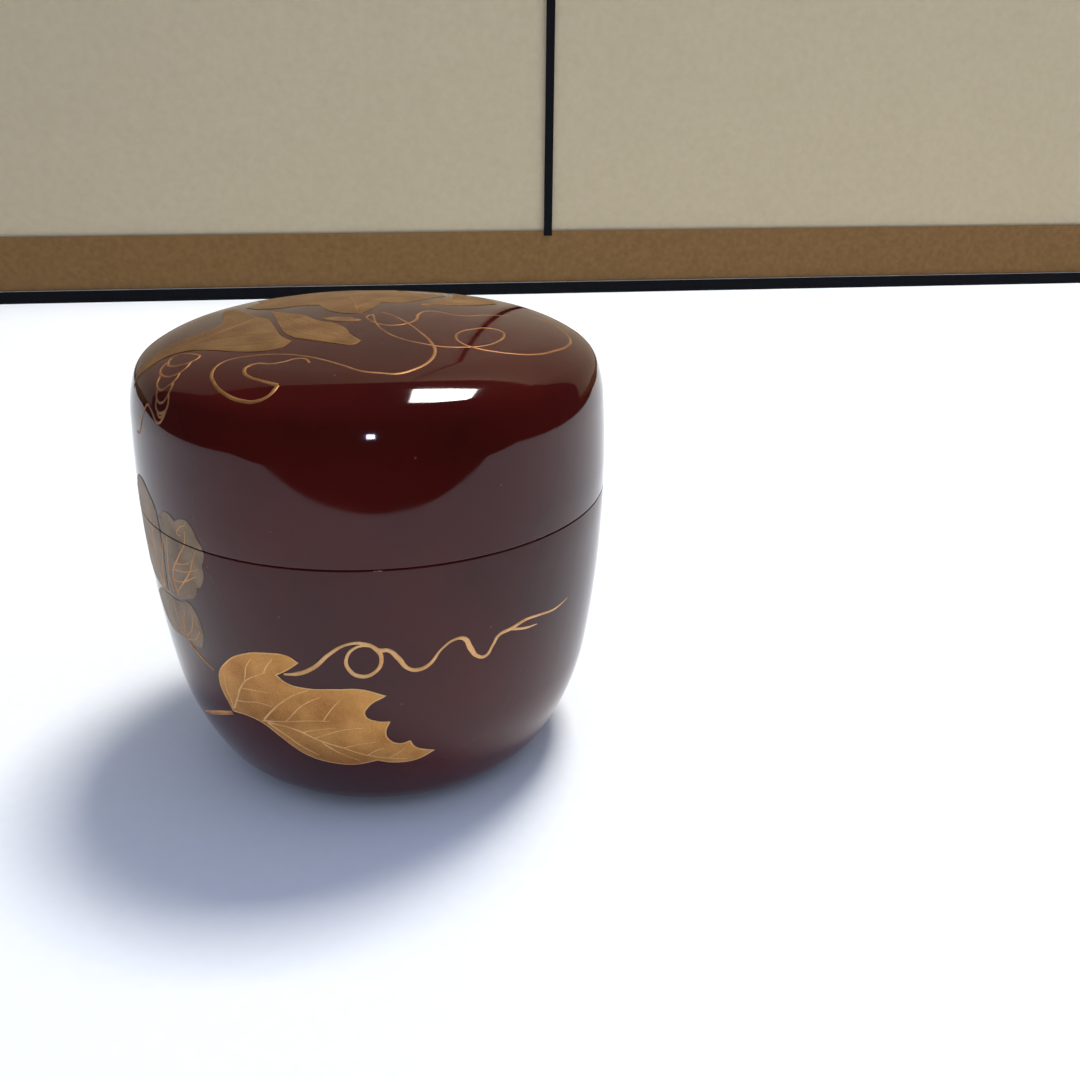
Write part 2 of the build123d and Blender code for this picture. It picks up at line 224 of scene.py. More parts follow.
def body_outside_coat():
    visible = [long_side_to(SEAM, 0)[1], *OUTSIDE[LONG_SIDE + 1:]]
    hidden = [long_side_to(SEAM - COAT, COAT)[1], *OUTSIDE[LONG_SIDE + 1:]]
    return coat((RIM_RADIUS, SEAM), (outside_radius(SEAM), SEAM), *visible,
                (BASE_RADIUS, BASE_JOINT[0]), (BASE_RADIUS, BASE_JOINT[1]), HEEL_END, *back_along(hidden),
                (RIM_RADIUS, SEAM - COAT), rounded=[(SEAM, outside_radius(SEAM), SEAM_EDGE)])


def base_coat():
    wall, inside, roof = FOOT_RADIUS - COAT, FOOT_INSIDE + COAT, FOOT_HOLLOW + COAT
    return coat((0, FOOT_HOLLOW), (FOOT_INSIDE, FOOT_HOLLOW), (FOOT_INSIDE, 0), (FOOT_RADIUS, 0),
                (FOOT_RADIUS, FOOT_TOP), (BASE_RADIUS, BASE_JOINT[0]), (BASE_RADIUS, BASE_JOINT[1]),
                (wall, FOOT_CORE_TOP), (wall, COAT), (inside, COAT), (inside, roof), (0, roof),
                rounded=[(0, FOOT_INSIDE, FOOT_EDGE), (0, FOOT_RADIUS, FOOT_EDGE)])


def body_inside_coat():
    outer, inner = RIM_RADIUS - RIM_EDGE, MOUTH_RADIUS + RIM_EDGE
    level, bend = RIM_TOP - RIM_EDGE, MOUTH_RADIUS - FLOOR_CORNER
    return coat((0, FLOOR), (bend, FLOOR), (bend, FLOOR + FLOOR_CORNER, -90), (MOUTH_RADIUS, level),
                (inner, level, 90), (outer, RIM_TOP), (outer, level, 90), (RIM_RADIUS, SEAM - COAT),
                (RIM_RADIUS - INNER_COAT, SEAM - COAT), (RIM_RADIUS - INNER_COAT, level),
                (outer, level, -90), (inner, RIM_TOP - INNER_COAT), (inner, level, -90),
                (MOUTH_RADIUS + INNER_COAT, FLOOR + FLOOR_CORNER), (bend, FLOOR + FLOOR_CORNER, 90),
                (0, FLOOR - INNER_COAT))


def lid_inside_coat():
    top = HEIGHT - LID_THICKNESS
    dome = (0, DOME_CENTRE, DOME_END)
    reach = (top - DOME_CENTRE) * sin(radians(DOME_END))
    shoulder_radius = (SKIRT_RADIUS - reach) / (1 - sin(radians(DOME_END)))
    centre = SKIRT_RADIUS - shoulder_radius
    level = DOME_CENTRE + (top - DOME_CENTRE - shoulder_radius) * cos(radians(DOME_END))
    shoulder = (centre, level, 90 - DOME_END)
    wall = SKIRT_RADIUS + INNER_COAT
    return coat((0, top), dome, shoulder, (SKIRT_RADIUS, SEAM), (wall, SEAM), (wall, level),
                *back_along([dome, shoulder]))


def outside_surface():
    """The whole outside as one surface, which the gold is laid on."""
    bm = bmesh.new()
    section(bm, (0, HEIGHT), *OUTSIDE)
    turn_round(bm)
    surface = BVHTree.FromBMesh(bm)
    bm.free()
    return surface


SURFACE = outside_surface()

# ---- Gold pictures: drawn flat in millimetres, then laid on the outside ----


def facing(bearing, rise=0.0, height=0.0):
    """Stands a flat drawing up facing a bearing, 0 being the front (-Y) and 90 the right (+X), tipped back
    by rise degrees, about the axis at a height."""
    turned = Matrix.Rotation(radians(bearing), 4, "Z") @ Matrix.Rotation(radians(90 - rise), 4, "X")
    return Matrix.Translation((0, 0, height * MM)) @ turned


LID_TOP = Matrix.Identity(4)
SIDE = facing(-66)
SHOULDER = facing(-58, rise=40, height=54)


def drawing(depth, filled=False):
    curve = bpy.data.curves.new("drawing", "CURVE")
    curve.dimensions = "2D"
    curve.fill_mode = "BOTH" if filled else "NONE"
    curve.bevel_depth = depth
    curve.bevel_resolution = 2
    curve.resolution_u = 8
    curve.use_fill_caps = True
    return curve


def inked(curve, points, closed=False, corners=()):
    """Adds one smooth line to a drawing through points of x, y and, for a line, its width there."""
    spline = curve.splines.new("BEZIER")
    spline.bezier_points.add(len(points) - 1)
    spline.use_cyclic_u = closed
    for place, (x, y, *width) in enumerate(points):
        point = spline.bezier_points[place]
        point.co = (x, y, 0)
        point.radius = width[0] / 2 if width else 1.0
    for place, point in enumerate(spline.bezier_points):
        point.handle_left_type = point.handle_right_type = "VECTOR" if place in corners else "AUTO"


def flat_mesh(curve):
    holder = bpy.data.objects.new("drawing", curve)
    mesh = bpy.data.meshes.new_from_object(holder)
    bm = bmesh.new()
    bm.from_mesh(mesh)
    bpy.data.objects.remove(holder)
    bpy.data.curves.remove(curve)
    bpy.data.meshes.remove(mesh)
    bmesh.ops.remove_doubles(bm, verts=bm.verts, dist=SAME_DRAWN_POINT)
    return bm


def joined(runs):
    """The points of an outline of smooth runs, and which of them are the corners between the runs."""
    points, corners = [], []
    for run in runs:
        corners.append(len(points))
        points.extend(run)
    return points, corners


def gold_shape(runs, grid):
    """A filled shape with a rounded rim, cut across by a grid so that it can follow the surface."""
    points, corners = joined(runs)
    curve = drawing(GOLD_EDGE, filled=True)
    curve.offset = -GOLD_EDGE
    inked(curve, points, closed=True, corners=corners)
    bm = flat_mesh(curve)
    for axis in (0, 1):
        low, high = min(v.co[axis] for v in bm.verts), max(v.co[axis] for v in bm.verts)
        for step in range(1, ceil((high - low) / grid)):
            place, across = Vector((0, 0, 0)), Vector((0, 0, 0))
            place[axis], across[axis] = low + step * grid, 1
            bmesh.ops.bisect_plane(bm, geom=bm.verts[:] + bm.edges[:] + bm.faces[:], plane_co=place,
                                   plane_no=across)
    bmesh.ops.triangulate(bm, faces=bm.faces)
    return bm


def gold_lines(*lines, brush=1.0):
    """Brush lines that swell and thin, all of them finer with a finer brush."""
    curve = drawing(brush)
    for line in lines:
        inked(curve, line)
    return flat_mesh(curve)


def gold_rim(runs, width):
    """A fine even line round a shape."""
    points, corners = joined(runs)
    curve = drawing(width / 2)
    inked(curve, points, closed=True, corners=corners)
    return flat_mesh(curve)


def even(width, *points):
    return [(x, y, width) for x, y in points]


def lay_on(bm, plane, lift=0.0, rise=None):
    """Lays a flat drawing on the lacquer: each point goes straight in until it meets the surface, and
    stands out by its own height there. Lines are pressed down to stand out by rise at their thickest."""
    inward = -(plane.to_3x3() @ Vector((0, 0, 1)))
    thick = max(v.co.z for v in bm.verts)
    share = rise / thick if rise else 1.0
    for v in bm.verts:
        start = plane @ Vector((v.co.x * MM, v.co.y * MM, CLEAR_OF_CADDY))
        hit, normal, _, _ = SURFACE.ray_cast(start, inward)
        if normal.dot(inward) > 0:
            normal.negate()
        height = lift + v.co.z * share * (1.0 if v.co.z > 0 else GOLD_SUNK)
        v.co = hit + normal * height * MM
    return bm


def kept_to(bm, body):
    """Cuts what crosses the seam, and keeps this body's side of it."""
    lid = body == LID
    level = (SEAM + (SEAM_GAP if lid else -SEAM_GAP)) * MM
    cut = bmesh.ops.bisect_plane(bm, geom=bm.verts[:] + bm.edges[:] + bm.faces[:], plane_co=(0, 0, level),
                                 plane_no=(0, 0, 1), clear_inner=lid, clear_outer=not lid)
    rim = [part for part in cut["geom_cut"] if isinstance(part, bmesh.types.BMEdge)]
    bmesh.ops.holes_fill(bm, edges=rim)
    return bm


# ---- Materials ----


def colour(code):
    """An sRGB hex colour, made linear."""
    channels = [int(code[place:place + 2], 16) / 255 for place in (1, 3, 5)]
    return [c / 12.92 if c <= 0.04045 else ((c + 0.055) / 1.055) ** 2.4 for c in channels] + [1.0]


def add(tree, kind, settings):
    """Adds a node with its settings: a socket gets a value or a link, and the rest is the node's own."""
    node = tree.nodes.new(kind)
    for key, value in settings.items():
        if isinstance(key, str) and key not in node.inputs:
            setattr(node, key, value)
        elif isinstance(value, bpy.types.NodeSocket):
            tree.links.new(value, node.inputs[key])
        else:
            node.inputs[key].default_value = value
    return node


def material(name, settings):
    """A material with one shader, its even values set on it, its nodes and its coordinates."""
    made = bpy.data.materials.new(name)
    made.use_nodes = True
    tree = made.node_tree
    shader = tree.nodes["Principled BSDF"]
    for key, value in settings.items():
        shader.inputs[key].default_value = value
    place = add(tree, "ShaderNodeTexCoord", {}).outputs["Object"]
    return made, tree, shader, place


def per_mm(size):
    """Texture scale for features of a size in millimetres, as Object coordinates are in metres."""
    return 1 / (size * MM)


def red_brown_lacquer():
    # Tame-nuri: clear amber lacquer over a dark red ground, rubbed and polished by hand. The colour lies
    # deep under a mirror gloss, and is not quite even: it drifts in clouds about 24 mm across.
    made, tree, shader, place = material("tame_nuri_lacquer_polished", {
        "IOR": 1.48, "Specular IOR Level": 0.38})
    clouds = add(tree, "ShaderNodeTexNoise", {
        "Vector": place, "Scale": per_mm(24), "Detail": 3.0, "Roughness": 0.55})
    depth = add(tree, "ShaderNodeMapRange", {
        "Value": clouds.outputs["Fac"], "From Min": 0.3, "From Max": 0.7})
    body_colour = add(tree, "ShaderNodeMixRGB", {
        "Fac": depth.outputs["Result"], "Color1": colour("#340a07"), "Color2": colour("#460f09")})
    # settled dust specks under the top coat, 0.2 to 0.4 mm across and about 4 mm apart
    specks = add(tree, "ShaderNodeTexVoronoi", {"Vector": place, "Scale": per_mm(4.0), "Randomness": 1.0})
    speck = add(tree, "ShaderNodeMapRange", {
        "Value": specks.outputs["Distance"], "From Min": 0.02, "From Max": 0.05,
        "To Min": 0.5, "To Max": 0.0})
    speckled = add(tree, "ShaderNodeMixRGB", {
        "Fac": speck.outputs["Result"], "Color1": body_colour.outputs["Color"],
        "Color2": colour("#7a4a38")})
    tree.links.new(speckled.outputs["Color"], shader.inputs["Base Color"])
    # the polish itself, a little less sharp in soft patches about 9 mm across
    rubbing = add(tree, "ShaderNodeTexNoise", {
        "Vector": place, "Scale": per_mm(9), "Detail": 4.0, "Roughness": 0.6})
    gloss = add(tree, "ShaderNodeMapRange", {
        "Value": rubbing.outputs["Fac"], "From Min": 0.35, "From Max": 0.7,
        "To Min": 0.035, "To Max": 0.085})
    tree.links.new(gloss.outputs["Result"], shader.inputs["Roughness"])
    # rubbing leaves the face very slightly uneven, in waves about 7 mm long
    waves = add(tree, "ShaderNodeTexNoise", {"Vector": place, "Scale": per_mm(7), "Detail": 1.0})
    bump = add(tree, "ShaderNodeBump", {
        "Height": waves.outputs["Fac"], "Strength": 0.25, "Distance": 0.02 * MM})
    tree.links.new(bump.outputs["Normal"], shader.inputs["Normal"])
    return made


def black_lacquer():
    # Black lacquer brushed on inside, and not polished as the outside is. A warm deep black, satin, with
    # faint brush marks 0.8 mm apart.
    made, tree, shader, place = material("black_lacquer_brushed", {"IOR": 1.54, "Coat Weight": 0.1})
    stretched = add(tree, "ShaderNodeMapping", {"Vector": place, "Scale": (0.12, 0.12, 1.0)})
    strokes = add(tree, "ShaderNodeTexNoise", {
        "Vector": stretched.outputs["Vector"], "Scale": per_mm(0.8), "Detail": 3.0})
    tone = add(tree, "ShaderNodeMixRGB", {
        "Fac": strokes.outputs["Fac"], "Color1": colour("#241d19"), "Color2": colour("#382d27")})
    tree.links.new(tone.outputs["Color"], shader.inputs["Base Color"])
    gloss = add(tree, "ShaderNodeMapRange", {
        "Value": strokes.outputs["Fac"], "To Min": 0.10, "To Max": 0.22})
    tree.links.new(gloss.outputs["Result"], shader.inputs["Roughness"])
    bump = add(tree, "ShaderNodeBump", {
        "Height": strokes.outputs["Fac"], "Strength": 0.3, "Distance": 0.01 * MM})
    tree.links.new(bump.outputs["Normal"], shader.inputs["Normal"])
    return made


def gold_powder(name, dense, thin, patch, rough):
    # Maki-e: gold powder sprinkled on wet lacquer and burnished. Soft metal glow, a fine grain, and a
    # browner gold in patches where the powder is thin. The lacquer between the grains makes it less than
    # fully metallic. The powder is 0.03 mm; it is drawn 0.16 mm, the least that shows.
    made, tree, shader, place = material(name, {"Metallic": 0.6})
    grain = add(tree, "ShaderNodeTexNoise", {
        "Vector": place, "Scale": per_mm(0.16), "Detail": 2.0, "Roughness": 0.7})
    patches = add(tree, "ShaderNodeTexNoise", {"Vector": place, "Scale": per_mm(patch), "Detail": 3.0})
    cover = add(tree, "ShaderNodeMath", {
        "operation": "MULTIPLY_ADD", 0: grain.outputs["Fac"], 1: 0.6, 2: patches.outputs["Fac"]})
    amount = add(tree, "ShaderNodeMapRange", {
        "Value": cover.outputs["Value"], "From Min": 0.55, "From Max": 1.0})
    gold = add(tree, "ShaderNodeMixRGB", {
        "Fac": amount.outputs["Result"], "Color1": colour(thin), "Color2": colour(dense)})
    tree.links.new(gold.outputs["Color"], shader.inputs["Base Color"])
    roughness = add(tree, "ShaderNodeMapRange", {
        "Value": grain.outputs["Fac"], "From Min": 0.3, "From Max": 0.7,
        "To Min": rough + 0.08, "To Max": rough - 0.06})
    tree.links.new(roughness.outputs["Result"], shader.inputs["Roughness"])
    bump = add(tree, "ShaderNodeBump", {
        "Height": grain.outputs["Fac"], "Strength": 0.6, "Distance": 0.02 * MM})
    tree.links.new(bump.outputs["Normal"], shader.inputs["Normal"])
    return made


def turned_wood():
    # Zelkova, turned across the grain: pale brown with fine darker lines about 1.5 mm apart, unpolished.
    made, tree, shader, place = material("zelkova_wood_turned", {"Specular IOR Level": 0.3})
    drawn_out = add(tree, "ShaderNodeMapping", {"Vector": place, "Scale": (1.0, 0.08, 1.0)})
    rings = add(tree, "ShaderNodeTexWave", {
        "Vector": drawn_out.outputs["Vector"], "Scale": per_mm(1.5) / 20, "Distortion": 6.0, "Detail": 3.0})
    tone = add(tree, "ShaderNodeMixRGB", {
        "Fac": rings.outputs["Fac"], "Color1": colour("#8a6238"), "Color2": colour("#b98d5a")})
    tree.links.new(tone.outputs["Color"], shader.inputs["Base Color"])
    roughness = add(tree, "ShaderNodeMapRange", {
        "Value": rings.outputs["Fac"], "To Min": 0.6, "To Max": 0.75})
    tree.links.new(roughness.outputs["Result"], shader.inputs["Roughness"])
    return made


RED_BROWN = red_brown_lacquer()
BLACK = black_lacquer()
GOLD = gold_powder("gold_powder_burnished", "#d69a52", "#a2672c", 5.0, 0.46)
BRIGHT_GOLD = gold_powder("gold_line_burnished", "#efbd80", "#c88f50", 3.0, 0.40)
# painted shade: the lid's gold and its lines are the body's gold made darker, so that the lid top, which
# faces the ceiling lamp, shows less light
LID_GOLD_PAINTED_SHADE = gold_powder("gold_powder_darkened_for_painted_shade", "#926d40", "#6b4520", 5.0, 0.46)
LID_LINE_GOLD_PAINTED_SHADE = gold_powder("gold_line_darkened_for_painted_shade", "#a67543", "#7d5127", 3.0, 0.46)
PALE_GOLD = gold_powder("gold_powder_thin", "#8b765e", "#66503c", 4.0, 0.46)
WOOD = turned_wood()

for core in ("body_wood_core", "lid_wood_core"):
    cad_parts[core].data.materials[0] = WOOD

finished("lid_outside_coat", lid_outside_coat(), RED_BROWN, LID, "red_brown_lacquer", "lid_outer_lacquer")
finished("body_outside_coat", body_outside_coat(), RED_BROWN, BODY, "red_brown_lacquer",
         "body_outer_lacquer")
finished("base_coat", base_coat(), RED_BROWN, BODY, "red_brown_lacquer", "base_lacquer")
finished("body_inside_coat", body_inside_coat(), BLACK, BODY, "black_lacquer", "body_inner_lacquer")
finished("lid_inside_coat", lid_inside_coat(), BLACK, LID, "black_lacquer", "lid_inner_lacquer")


def gold_piece(name, bm, body, *nodes, finish=GOLD):
    finished(name, bm, finish, body, "gold_powder", *nodes)


def veins_on(plane, lines):
    """Fine raised lines on a gold shape."""
    return lay_on(gold_lines(*lines), plane, ON_LEAF, VEIN_RISE)


def outline_on(plane, runs):
    """A fine raised line round a gold shape."""
    return lay_on(gold_rim(runs, OUTLINE), plane, ON_LEAF / 2, VEIN_RISE)


# The large leaf on the front, with its veins and stem

FRONT_LEAF = [
    [(-12.5, 17.3), (-13.9, 22.2), (-11.9, 25.7), (-8.8, 27.9), (-5.0, 28.9), (-2.5, 28.9)],
    [(-1.2, 28.1), (-2.8, 26.8)],
    [(-4.5, 25.7), (-3.0, 24.6), (-0.5, 24.2), (3.5, 24.4), (6.6, 24.4)],
    [(9.3, 23.3), (7.2, 21.8), (6.6, 20.2), (8.0, 19.2)],
    [(9.5, 19.0), (8.9, 17.4), (9.1, 16.1), (10.4, 15.1)],
    [(11.7, 15.4), (12.2, 14.2)],
    [(14.3, 13.0), (12.1, 11.8), (9.3, 11.7)],
    [(7.3, 12.3), (4.2, 11.5), (1.0, 11.7), (-1.9, 12.6), (-3.4, 13.6), (-5.6, 15.5), (-7.7, 17.0),
     (-10.2, 17.5)],
]
FRONT_LEAF_VEINS = [
    [(-7.0, 17.3, 0.3), (-4.7, 15.9, 0.26), (-2.4, 14.1, 0.22), (-0.2, 12.9, 0.1)],
    [(-7.7, 17.4, 0.25), (-4.0, 18.2, 0.2), (-0.9, 18.9, 0.16), (2.0, 19.2, 0.1)],
    [(-6.8, 17.4, 0.3), (-3.0, 17.1, 0.26), (0.2, 15.7, 0.26), (3.2, 14.6, 0.24), (6.2, 13.3, 0.2),
     (8.8, 12.6, 0.16), (11.1, 12.1, 0.1)],
    [(-7.4, 17.7, 0.3), (-5.9, 19.6, 0.26), (-4.3, 21.3, 0.22), (-2.2, 23.0, 0.16), (-0.2, 24.0, 0.1)],
    [(-4.2, 18.1, 0.26), (-2.8, 19.8, 0.22), (-1.7, 21.1, 0.2), (-0.3, 22.2, 0.16), (1.1, 23.0, 0.1)],
    [(-0.6, 15.9, 0.22), (1.8, 17.1, 0.18), (4.0, 17.9, 0.14), (6.4, 18.2, 0.1)],
    [(-1.9, 16.8, 0.18), (0.4, 17.6, 0.14), (2.6, 18.1, 0.1)],
    [(1.1, 19.1, 0.16), (2.6, 21.4, 0.14), (3.8, 22.8, 0.1)],
    [(0.2, 15.7, 0.2), (1.6, 14.4, 0.18), (3.0, 13.4, 0.14), (5.0, 12.3, 0.1)],
    [(3.2, 14.6, 0.18), (5.2, 15.3, 0.16), (7.6, 15.7, 0.1)],
    [(-12.2, 17.9, 0.3), (-11.2, 20.1, 0.26), (-10.2, 22.3, 0.24), (-9.0, 23.8, 0.22), (-7.6, 24.8, 0.18),
     (-5.9, 25.8, 0.1)],
    [(-9.5, 23.2, 0.2), (-9.1, 24.8, 0.18), (-8.9, 25.7, 0.16), (-7.8, 27.5, 0.1)],
    [(-6.3, 25.6, 0.18), (-5.5, 27.0, 0.16), (-4.6, 28.2, 0.1)],
    [(-11.4, 19.6, 0.2), (-9.8, 19.9, 0.18), (-8.0, 20.4, 0.14), (-5.8, 20.3, 0.1)],
    [(-10.3, 22.1, 0.2), (-8.4, 22.3, 0.16), (-5.4, 22.6, 0.1)],
    [(-12.4, 17.8, 0.22), (-12.5, 19.4, 0.18), (-12.9, 20.8, 0.16), (-12.8, 23.5, 0.1)],
    [(6.2, 13.3, 0.16), (7.3, 14.1, 0.14), (8.4, 14.5, 0.1)],
    [(8.8, 12.6, 0.14), (10.1, 13.5, 0.12), (11.0, 14.2, 0.1)],
]
FRONT = facing(-18)
gold_piece("front_leaf_gold", lay_on(gold_shape(FRONT_LEAF, GOLD_GRID), FRONT), BODY, "front_leaf")
gold_piece("front_leaf_veins", veins_on(FRONT, FRONT_LEAF_VEINS), BODY, finish=BRIGHT_GOLD)
gold_piece("front_leaf_rim", outline_on(FRONT, FRONT_LEAF), BODY, finish=BRIGHT_GOLD)
FRONT_LEAF_STEM = [(-14.6, 12.8, 0.3), (-13.6, 13.3, 0.6), (-9.5, 15.5, 0.75), (-6.6, 16.8, 0.6)]
gold_piece("front_leaf_stem_gold", lay_on(gold_lines(FRONT_LEAF_STEM), facing(-30), rise=LINE_RISE), BODY,
           "front_leaf_stem")

# The curling tendril beside it, drawn in one line that turns once round itself and forks at its tip

FRONT_TENDRIL = [
    [(-19.3, 26.0, 0.3), (-17.7, 26.4, 0.6), (-15.9, 27.6, 0.55), (-14.0, 29.8, 0.45),
     (-12.1, 31.2, 0.35), (-10.2, 31.4, 0.45), (-8.6, 30.5, 0.6), (-8.0, 28.9, 0.5), (-8.9, 27.0, 0.45),
     (-10.6, 26.5, 0.6), (-11.9, 27.6, 0.5), (-12.1, 29.2, 0.4), (-11.0, 30.8, 0.35), (-9.4, 31.0, 0.35),
     (-8.2, 30.3, 0.6), (-7.1, 30.2, 0.55), (-6.0, 29.0, 0.7), (-4.8, 27.3, 0.55), (-3.7, 26.9, 0.6),
     (-2.2, 27.4, 0.5), (-0.4, 29.6, 0.3), (1.4, 30.6, 0.35), (2.5, 30.4, 0.6), (3.4, 28.7, 0.75),
     (4.3, 27.3, 0.5), (5.5, 26.9, 0.45), (6.6, 28.3, 0.4), (7.4, 29.5, 0.45), (9.3, 29.9, 0.55),
     (11.6, 30.4, 0.45), (13.8, 30.2, 0.35), (16.8, 29.8, 0.3), (19.3, 30.2, 0.15)],
    [(9.3, 29.8, 0.4), (11.7, 29.1, 0.35), (13.6, 28.9, 0.15)],
]
gold_piece("front_tendril_gold", lay_on(gold_lines(*FRONT_TENDRIL), facing(13), rise=LINE_RISE), BODY,
           "front_tendril", finish=BRIGHT_GOLD)

# The large leaf round the left side: two halves, each cut at the seam

SIDE_LEAF_FRONT = [
    [(4.8, 43.6), (5.6, 44.5), (7.0, 44.9), (8.3, 44.6)],
    [(8.9, 44.2), (10.0, 44.8), (11.4, 45.0), (12.4, 44.1), (13.0, 43.0), (13.6, 42.1), (13.8, 40.8)],
    [(13.2, 39.4), (13.3, 38.0), (12.9, 36.9)],
    [(12.3, 36.0), (11.6, 35.7), (11.2, 34.6), (10.0, 33.6)],
    [(9.3, 33.4), (8.1, 32.9), (6.1, 32.6)],
    [(4.1, 32.6), (4.8, 36.0), (5.0, 40.0)],
]
SIDE_LEAF_BACK = [
    [(4.3, 43.2), (3.7, 44.6), (2.0, 46.0), (-1.0, 47.2), (-4.0, 46.2)],
    [(-5.0, 44.8), (-7.5, 44.0), (-9.6, 41.0)],
    [(-9.0, 39.0), (-9.4, 36.0), (-7.0, 33.6)],
    [(-5.0, 33.4), (-1.0, 32.2), (2.0, 32.1)],
    [(3.6, 32.4), (4.2, 36.0), (4.5, 40.0)],
]
SIDE_LEAF_VEINS = [
    [(6.9, 33.0, 0.3), (6.6, 36.0, 0.28), (8.7, 39.2, 0.24), (10.5, 41.6, 0.2), (10.9, 43.4, 0.12)],
    [(5.0, 41.2, 0.12), (4.5, 38.5, 0.2), (3.2, 35.4, 0.24), (2.6, 32.8, 0.2)],
    [(6.4, 41.3, 0.12), (5.8, 38.3, 0.2), (5.2, 35.4, 0.22), (5.6, 33.0, 0.2)],
    [(7.9, 38.0, 0.2), (9.4, 38.4, 0.18), (11.0, 39.1, 0.12)],
    [(7.1, 36.9, 0.2), (9.9, 37.5, 0.18), (12.6, 38.7, 0.12)],
    [(6.6, 35.1, 0.2), (8.8, 35.7, 0.18), (11.8, 37.4, 0.12)],
    [(12.4, 41.1, 0.12), (11.6, 39.5, 0.2), (10.7, 37.7, 0.22), (9.1, 35.8, 0.22), (6.8, 33.5, 0.16)],
    [(10.0, 42.5, 0.12), (9.2, 42.6, 0.18), (9.6, 43.4, 0.18), (11.1, 44.3, 0.12)],
    [(2.4, 32.6, 0.26), (1.4, 36.4, 0.24), (1.6, 40.4, 0.2), (0.6, 44.8, 0.12)],
    [(1.8, 33.2, 0.22), (-1.8, 37.0, 0.2), (-4.4, 40.6, 0.18), (-7.4, 41.6, 0.12)],
    [(-1.8, 37.0, 0.18), (-4.2, 36.4, 0.16), (-7.4, 36.6, 0.12)],
    [(1.4, 37.6, 0.18), (-1.0, 40.4, 0.16), (-2.6, 44.2, 0.12)],
    [(1.6, 40.4, 0.16), (3.0, 42.2, 0.12)],
]
for body, half in ((LID, "lid"), (BODY, "body")):
    for side, runs in (("front", SIDE_LEAF_FRONT), ("back", SIDE_LEAF_BACK)):
        leaf = lay_on(gold_shape(runs, GOLD_GRID), SIDE)
        gold_piece(f"side_leaf_{side}_gold_on_{half}", kept_to(leaf, body), body,
                   f"side_leaf_{side}_on_{half}", finish=PALE_GOLD)
    gold_piece(f"side_leaf_veins_on_{half}", kept_to(veins_on(SIDE, SIDE_LEAF_VEINS), body), body)

SMALL_LEAF = [
    [(4.2, 32.0), (7.0, 32.2), (9.2, 32.8), (10.4, 31.6), (10.9, 29.6), (10.8, 28.0)],
    [(10.1, 26.4), (9.3, 26.0), (8.0, 25.9), (6.6, 26.2), (4.5, 26.0), (1.7, 25.8), (-1.5, 27.5)],
    [(-2.5, 30.0), (0.5, 31.6)],
]
SMALL_LEAF_VEINS = [
    [(6.8, 26.0, 0.26), (6.6, 28.4, 0.24), (7.6, 30.8, 0.12)],
    [(6.6, 26.8, 0.2), (8.4, 28.4, 0.18), (9.4, 31.0, 0.12)],
    [(7.0, 26.4, 0.2), (8.9, 27.2, 0.18), (10.3, 28.9, 0.12)],
    [(6.6, 27.2, 0.2), (5.0, 29.2, 0.18), (4.9, 31.6, 0.12)],
    [(6.2, 26.6, 0.2), (3.0, 27.8, 0.18), (-0.8, 29.4, 0.12)],
]
gold_piece("small_side_leaf_gold", lay_on(gold_shape(SMALL_LEAF, GOLD_GRID), SIDE), BODY, "small_side_leaf",
           finish=PALE_GOLD)
gold_piece("small_side_leaf_veins", veins_on(SIDE, SMALL_LEAF_VEINS), BODY)
SMALL_LEAF_STEM = [(7.0, 25.7, 0.35), (8.8, 24.6, 0.4), (11.2, 23.2, 0.2)]
gold_piece("small_side_leaf_stem_gold", lay_on(gold_lines(SMALL_LEAF_STEM), SIDE, rise=LINE_RISE), BODY,
           "small_side_leaf_stem")

# On the lid: a trumpet flower, its bud, leaves and tendrils

TRUMPET_FLOWER = [
    [(-30.3, -9.4), (-28.9, -10.1), (-26.0, -9.9), (-22.8, -10.7), (-20.0, -12.3), (-15.8, -15.0),
     (-12.9, -15.8), (-10.8, -15.3)],
    [(-9.9, -13.7), (-11.3, -11.4), (-12.5, -6.9)],
    [(-13.4, -3.0), (-14.9, -0.9), (-17.1, 3.8)],
    [(-18.2, 7.0), (-19.6, 9.2)],
    [(-20.4, 6.0), (-19.6, 2.1), (-20.3, -2.8), (-22.0, -4.2), (-23.9, -5.2), (-26.9, -6.4), (-29.3, -8.0)],
]
TRUMPET_FLOWER_RIBS = [
    [(-28.4, -8.9, 0.1), (-22.6, -8.3, 0.16), (-17.6, -8.6, 0.18), (-12.6, -10.2, 0.1)],
    [(-22.6, -8.3, 0.14), (-18.0, -4.4, 0.18), (-15.2, -1.4, 0.1)],
    [(-18.4, -11.9, 0.12), (-14.8, -13.0, 0.16), (-11.2, -13.4, 0.1)],
    [(-20.2, 3.2, 0.1), (-18.2, 0.2, 0.14), (-17.6, -4.0, 0.1)],
]
FLOWER_BUD = [
    [(-13.1, 1.2), (-10.7, -1.3), (-8.5, -3.4), (-6.9, -6.3), (-4.8, -8.2), (-3.3, -10.3), (-2.6, -12.8)],
    [(-1.3, -15.4), (-2.2, -16.4), (-4.2, -15.7), (-6.2, -14.6), (-8.2, -13.4)],
    [(-9.4, -12.6), (-10.5, -10.8), (-11.5, -7.1), (-12.4, -2.5)],
]
FLOWER_BUD_FOLDS = [
    [(-12.2, -0.6, 0.14), (-10.4, -5.0, 0.22), (-8.2, -9.0, 0.22), (-4.6, -13.0, 0.18),
     (-2.2, -15.6, 0.12)],
    [(-11.2, -4.6, 0.12), (-9.9, -9.0, 0.2), (-7.8, -12.2, 0.2), (-4.4, -14.7, 0.12)],
    [(-10.6, -2.2, 0.12), (-7.9, -6.2, 0.2), (-5.6, -9.6, 0.18), (-3.6, -12.6, 0.12)],
]
THIN_LEAF = [
    [(-6.3, -5.4), (-4.3, -5.2), (-2.4, -5.9)],
    [(-1.0, -7.2), (-2.6, -7.7), (-4.4, -7.2), (-5.7, -6.3)],
]
